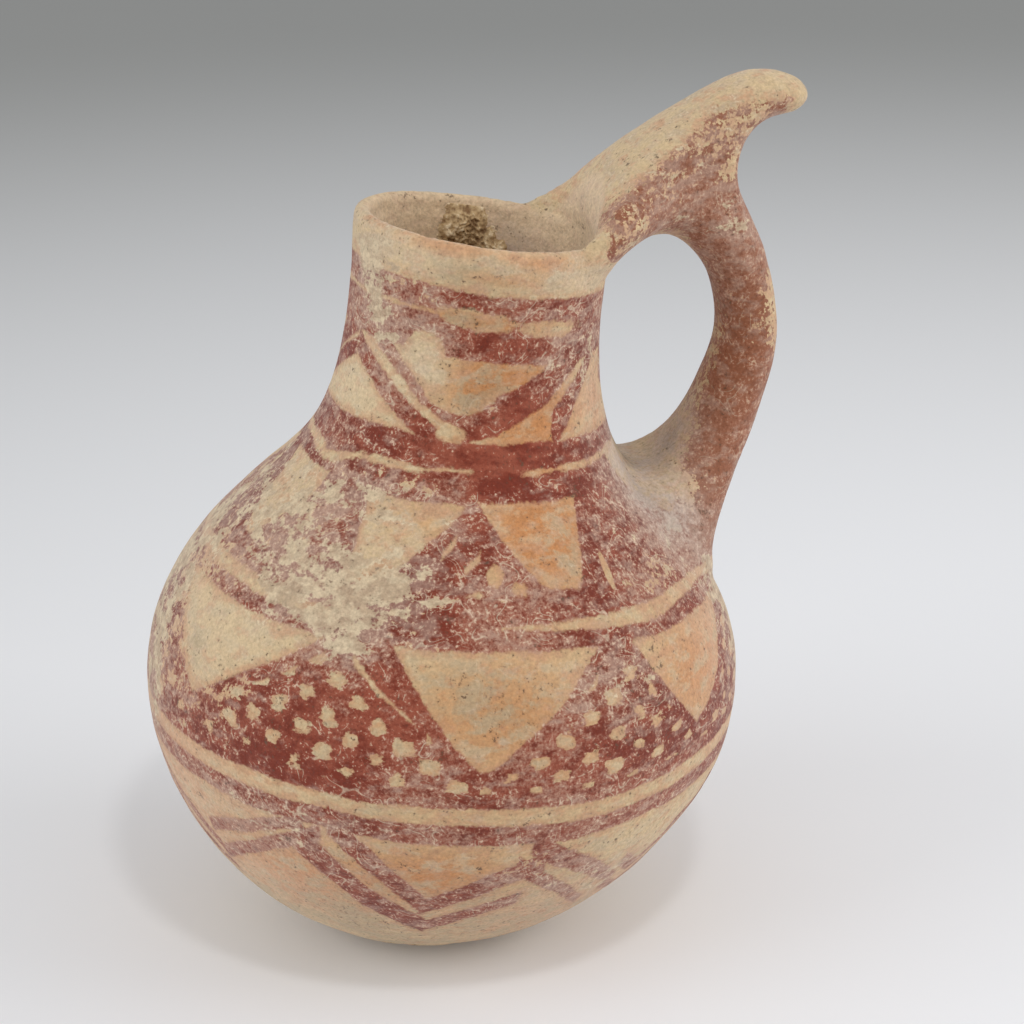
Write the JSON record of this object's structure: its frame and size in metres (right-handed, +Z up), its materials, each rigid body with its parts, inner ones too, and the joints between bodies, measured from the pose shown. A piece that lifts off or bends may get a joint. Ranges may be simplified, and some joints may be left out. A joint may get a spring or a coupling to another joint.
{
  "type": "miniature painted jug",
  "caption": "Small round-bellied clay jug with a straight neck, a looped handle rising from the rim to a thumb spur, and geometric red painting",
  "frame": {"origin": "Middle of the small flat spot on the underside that the jug stands on", "axes": "+Z up as it stands, +X towards the handle and its spur, +Y to the side"},
  "size_m": [0.0698, 0.062, 0.0887],
  "materials": {
    "fired_clay": "matte buff slip with worn matte red paint"
  },
  "bodies": {
    "root": {"jug": "fired_clay"}
  },
  "joints": []
}
